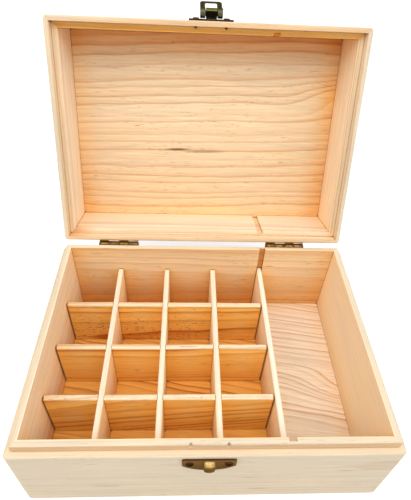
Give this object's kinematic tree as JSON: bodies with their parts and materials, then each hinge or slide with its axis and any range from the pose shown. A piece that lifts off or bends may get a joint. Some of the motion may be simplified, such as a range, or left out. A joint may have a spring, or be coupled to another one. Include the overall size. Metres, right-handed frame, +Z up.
{
  "type": "wooden box",
  "caption": "Plain pine keepsake box with a hinged lid, lift-out egg-crate dividers, a sliding partition, a side tray and a hasp latch.",
  "frame": {"origin": "middle of the flat underside of the box, on the surface that it stands on", "axes": "+X to the right seen from the front, +Y to the back where the hinges are, +Z up; the lid is open"},
  "size_m": [0.25, 0.2988, 0.2546],
  "materials": {
    "pine_walls": "raw sanded pine",
    "pine_panels": "raw sanded pine",
    "pine_dividers": "raw sanded pine",
    "antique_brass": "dark antique brass, worn bright on edges",
    "dark_screws": "dark antique brass"
  },
  "bodies": {
    "base": {"base_front_wall": "pine_walls", "base_back_wall": "pine_walls", "base_left_wall": "pine_walls", "base_right_wall": "pine_walls", "base_floor_panel": "pine_panels", "left_hinge_base_leaf": "antique_brass", "right_hinge_base_leaf": "antique_brass", "left_hinge_pin": "antique_brass", "right_hinge_pin": "antique_brass", "base_hinge_screws": "dark_screws", "catch_plate": "antique_brass", "catch_plate_screws": "dark_screws"},
    "lid": {"lid_front_wall": "pine_walls", "lid_back_wall": "pine_walls", "lid_left_wall": "pine_walls", "lid_right_wall": "pine_walls", "lid_top_board": "pine_panels", "left_hinge_lid_leaf": "antique_brass", "right_hinge_lid_leaf": "antique_brass", "lid_hinge_screws": "dark_screws", "hasp_plate": "antique_brass", "hasp_plate_screws": "dark_screws"},
    "hasp_loop": {"hasp_loop": "antique_brass"},
    "divider_grid": {"long_divider_left": "pine_dividers", "long_divider_middle": "pine_dividers", "long_divider_right": "pine_dividers", "cross_divider_front": "pine_dividers", "cross_divider_middle": "pine_dividers", "cross_divider_back": "pine_dividers"},
    "partition": {"partition_board": "pine_dividers"}
  },
  "joints": [
    {"name": "lid_hinge", "type": "hinge", "parent": "base", "child": "lid", "pos_m": [0, 0.0945, 0.07205], "axis": [1, 0, 0], "range_deg": [0, 109]},
    {"name": "hasp_loop_hinge", "type": "hinge", "parent": "lid", "child": "hasp_loop", "pos_m": [0, 0.16155, 0.25097], "axis": [1, 0, 0], "range_deg": [-27, 164]},
    {"name": "divider_grid_lift", "type": "slide", "parent": "base", "child": "divider_grid", "axis": [0, 0, 1], "range_m": [0, 0.06]},
    {"name": "partition_lift", "type": "slide", "parent": "base", "child": "partition", "axis": [0, 0, 1], "range_m": [0, 0.06]}
  ]
}
